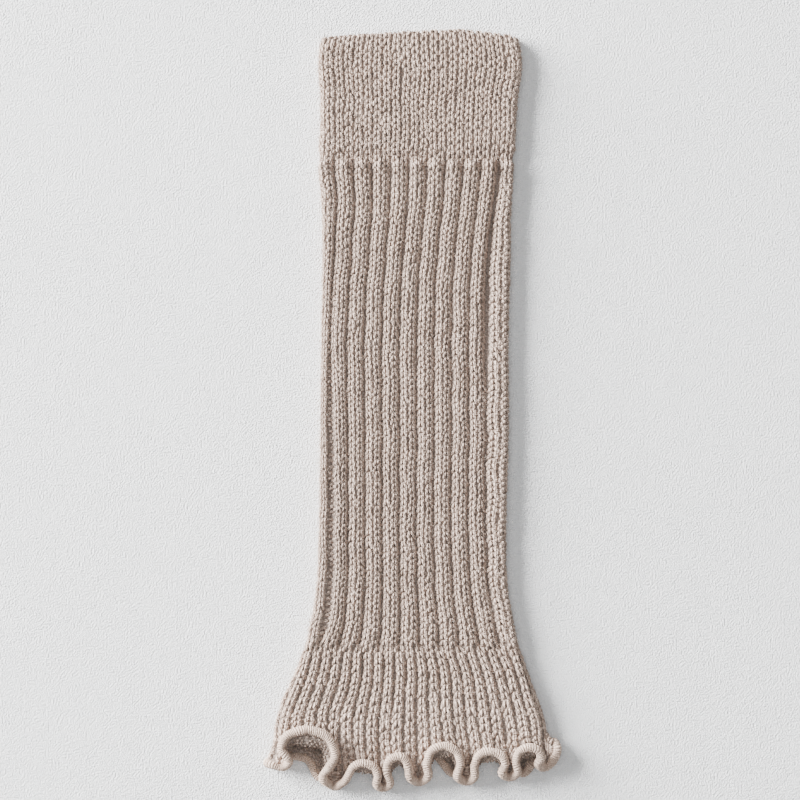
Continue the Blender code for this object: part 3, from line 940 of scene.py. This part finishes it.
# Plies round the yarn, and plies that pass along one leg of a stitch or across one wrap.
YARN_TWIST = (5, 2.5)
WRAP_TWIST = (0, 1)  # the overlock thread shows no plies, but its wraps lie side by side, with painted shade darkening the gaps between them
WOOLS = {
    #  dark  middle  light  bump  twist
    "melange_wool": (
        (0.195, 0.139, 0.112),
        (0.385, 0.28, 0.226),
        (0.785, 0.62, 0.52),
        0.8,
        YARN_TWIST,
    ),
    # The ground under the stitches has painted shade: the yarn's tones made darker, for the holes
    # between the stitches.
    "shaded_melange_ground": (
        (0.145, 0.112, 0.094),
        (0.24, 0.19, 0.162),
        (0.37, 0.30, 0.26),
        0.5,
        None,
    ),
    "loose_wool": (
        (0.40, 0.31, 0.26),
        (0.58, 0.46, 0.39),
        (0.83, 0.70, 0.61),
        0.2,
        None,
    ),
    "overlock_thread": (
        (0.29, 0.213, 0.17),
        (0.51, 0.375, 0.30),
        (0.75, 0.59, 0.485),
        0.5,
        WRAP_TWIST,
    ),
}


def node(tree, kind, inputs=(), **settings):
    """A shader node with its settings, its numbers and its links."""
    made = tree.nodes.new(kind)
    for name, value in settings.items():
        setattr(made, name, value)
    for name, value in dict(inputs).items():
        if isinstance(value, bpy.types.NodeSocket):
            tree.links.new(value, made.inputs[name])
        else:
            made.inputs[name].default_value = value
    return made


def tones(tree, factor, stops):
    """A colour ramp over the factor: stops are a place and a colour."""
    made = node(tree, "ShaderNodeValToRGB", {"Fac": factor})
    ramp_stops = made.color_ramp.elements
    while len(ramp_stops) < len(stops):
        ramp_stops.new(0.5)
    for stop, (place, colour) in zip(ramp_stops, stops):
        stop.position = place
        stop.color = (*colour, 1)
    return made.outputs["Color"]


def worked_out(tree, operation, *values):
    """A number worked out from numbers and sockets."""
    return node(tree, "ShaderNodeMath", dict(enumerate(values)), operation=operation).outputs[0]


def noise(tree, place, settings):
    return node(tree, "ShaderNodeTexNoise", {"Vector": place, **settings}).outputs["Fac"]


def plies(tree, uv, count, passed):
    """0 between the plies of a twisted yarn and 1 along the top of each."""
    parts = node(tree, "ShaderNodeSeparateXYZ", {0: uv})
    around = worked_out(tree, "MULTIPLY", parts.outputs[0], np.pi * count)
    twisted = worked_out(tree, "MULTIPLY_ADD", parts.outputs[1], np.pi * passed, around)
    return worked_out(tree, "ABSOLUTE", worked_out(tree, "SINE", twisted))


def multiplied(tree, first, second):
    """One colour times another."""
    mix = node(tree, "ShaderNodeMix", data_type="RGBA", blend_type="MULTIPLY")
    mix.inputs[0].default_value = 1.0
    tree.links.new(first, mix.inputs[6])
    tree.links.new(second, mix.inputs[7])
    return mix.outputs[2]


def bumped(tree, height, strength, distance):
    """A surface direction that follows a height."""
    inputs = {"Height": height, "Strength": strength, "Distance": distance}
    return node(tree, "ShaderNodeBump", inputs).outputs["Normal"]


def new_material(name):
    material = bpy.data.materials.new(name)
    material.use_nodes = True
    tree = material.node_tree
    return material, tree, tree.nodes["Principled BSDF"]


def wool(name, dark, middle, light, bump, twist):
    """Melange yarn: twisted plies with painted shade between them, streaks of fibre along them,
    and soft clouds of tone.
    """
    material, tree, shader = new_material(name)
    coordinates = node(tree, "ShaderNodeTexCoord")
    place, uv = coordinates.outputs["Object"], coordinates.outputs["UV"]
    # Streaks run along the yarn, and each stitch has its own.
    shift = {0: place, 1: (STITCH_DRIFT,) * 3}
    drift = node(tree, "ShaderNodeVectorMath", shift, operation="MULTIPLY")
    along_yarn = node(
        tree,
        "ShaderNodeVectorMath",
        {0: uv, 1: YARN_STRETCH, 2: drift.outputs[0]},
        operation="MULTIPLY_ADD",
    ).outputs[0]
    streak_tones = tuple(zip(STREAK_STOPS, (dark, middle, light)))
    colour = tones(tree, noise(tree, along_yarn, STREAKS), streak_tones)
    colour = multiplied(tree, colour, tones(tree, noise(tree, place, CLOUDS), CLOUD_TONES))
    height = noise(tree, along_yarn, FIBRE_GRAIN)
    if twist:
        ply = plies(tree, uv, *twist)
        # Painted shade between the plies, or between the wraps of the thread.
        colour = multiplied(tree, colour, tones(tree, ply, PAINTED_SHADE_BETWEEN_PLIES))
        height = worked_out(tree, "MULTIPLY_ADD", ply, PLY_HEIGHT, height)
    tree.links.new(colour, shader.inputs["Base Color"])
    tree.links.new(bumped(tree, height, bump, FIBRE_BUMP), shader.inputs["Normal"])
    for socket, value in WOOL_FINISH.items():
        shader.inputs[socket].default_value = value
    return material


def paper():
    """The pale, faintly grained surface that the knit lies on."""
    material, tree, shader = new_material("pale_table")
    place = node(tree, "ShaderNodeTexCoord").outputs["Object"]
    grain = noise(tree, place, PAPER_GRAIN)
    tree.links.new(tones(tree, grain, PAPER_TONES), shader.inputs["Base Color"])
    tree.links.new(bumped(tree, grain, 1.0, PAPER_BUMP), shader.inputs["Normal"])
    shader.inputs["Roughness"].default_value = PAPER_ROUGHNESS
    return material


# --- The whole -------------------------------------------------------------------------

FRONT, BACK, ALL_ROUND = (0, WALES), (WALES, 2 * WALES), (0, 2 * WALES)
FLARE_WALES = (FLARE_SHIFT, 2 * WALES + FLARE_SHIFT)

# The ground's wool is the yarn darkened as painted shade, where it shows between the stitches.
yarn, shaded_under_yarn, loose_wool, thread = (wool(name, *looks) for name, looks in WOOLS.items())


def inner_purl(name, wales, to_a_wale):
    """Purl bumps on the inner face of the flare, which its crests turn up."""
    bumps = purl_stitch(HEM_PURL_WIDTH)
    return lay_stitches(name, bumps, wales, PURL_ROWS, 5, yarn, side="inner", to_a_wale=to_a_wale)


cuff_ground = ground("cuff_ground", CUFF_ROWS, shaded_under_yarn)
cuff_stitches = lay_stitches("cuff_stitches", knit_stitch(), ALL_ROUND, CUFF_ROWS, 1, yarn)
leg_ground = ground("leg_ground", LEG_ROWS, shaded_under_yarn)
leg_front_stitches = lay_stitches("leg_front_stitches", knit_stitch(), FRONT, LEG_ROWS, 2, yarn)
leg_back_stitches = lay_stitches("leg_back_stitches", knit_stitch(), BACK, LEG_ROWS, 3, yarn)
flare_ground = ground("flare_ground", FLARE_ROWS, shaded_under_yarn)
flare_stitches = lay_stitches("flare_stitches", knit_stitch(), FLARE_WALES, FLARE_ROWS, 4, yarn)
flare_purl = inner_purl("flare_inner_purl", FRONT, PURLS_TO_A_WALE)
flare_back_purl = inner_purl("flare_back_purl", BACK, BACK_PURLS_TO_A_WALE)
groove_purl = lay_stitches(
    "groove_purl", purl_stitch(), GROOVE_PURL_WALES, GROOVE_PURL_ROWS, 6, yarn, in_groove=True
)
fuzz = loose_fibres("wool_fuzz", ALL_ROUND, FIBRE_ROWS, 7, loose_wool)
lettuce = lettuce_wraps(thread)

for piece, cad_node, slot in (
    (cuff_ground, "cuff", "greige_knit"),
    (cuff_stitches, "cuff", "greige_knit"),
    (leg_ground, "leg", "greige_knit"),
    (leg_front_stitches, "leg", "greige_knit"),
    (leg_back_stitches, "leg", "greige_knit"),
    (groove_purl, "leg", "greige_knit"),
    (fuzz, "leg", "greige_knit"),
    (flare_ground, "flare", "greige_knit"),
    (flare_stitches, "flare", "greige_knit"),
    (flare_purl, "flare", "greige_knit"),
    (flare_back_purl, "flare", "greige_knit"),
    (lettuce, "lettuce_edge", "pale_overlock_thread"),
):
    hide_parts(cad_node)


# --- Table, lights and camera ----------------------------------------------------------

TABLE_HALF = 3.0  # metres
PIXEL = 0.53  # millimetres of the table in one pixel of the frame
FRAME_PIXELS = 800
FRAME_MIDDLE = (-6.46, 6.07)  # millimetres: the place in the middle of the frame
LENS, SENSOR = 120.0, 36.0
LIGHTS = (
    #  name  place  size  power
    ("window", (-3.5, 1.55, 1.14), 2.6, 1640),
    ("sky", (0.0, 0.0, 2.2), 2.5, 29),
)
AIR_COLOUR, AIR_STRENGTH = (0.95, 0.97, 1.0, 1), 0.39


def table_top():
    bm = bmesh.new()
    bmesh.ops.create_grid(bm, x_segments=1, y_segments=1, size=TABLE_HALF)
    mesh = bpy.data.meshes.new("table_top")
    bm.to_mesh(mesh)
    bm.free()
    mesh.materials.append(paper())
    top = bpy.data.objects.new("table_top", mesh)
    bpy.context.scene.collection.objects.link(top)


def area_light(name, place, size, power):
    """A square light that faces the middle of the leg warmer."""
    data = bpy.data.lights.new(name, "AREA")
    data.size = size
    data.energy = power
    light = bpy.data.objects.new(name, data)
    light.location = place
    way = Vector((0, 0, 0)) - Vector(place)
    light.rotation_euler = way.to_track_quat("-Z", "Y").to_euler()
    bpy.context.scene.collection.objects.link(light)


def camera_above():
    data = bpy.data.cameras.new("camera_above")
    data.lens = LENS
    data.sensor_width = SENSOR
    camera = bpy.data.objects.new("camera_above", data)
    height = FRAME_PIXELS * PIXEL * LENS / SENSOR
    camera.location = (FRAME_MIDDLE[0] * MM, FRAME_MIDDLE[1] * MM, height * MM)
    bpy.context.scene.collection.objects.link(camera)
    bpy.context.scene.camera = camera


def soft_air():
    """The even light from all round."""
    world = bpy.data.worlds.new("studio")
    bpy.context.scene.world = world
    world.use_nodes = True
    background = world.node_tree.nodes["Background"]
    background.inputs["Color"].default_value = AIR_COLOUR
    background.inputs["Strength"].default_value = AIR_STRENGTH


table_top()
camera_above()
for light in LIGHTS:
    area_light(*light)
soft_air()
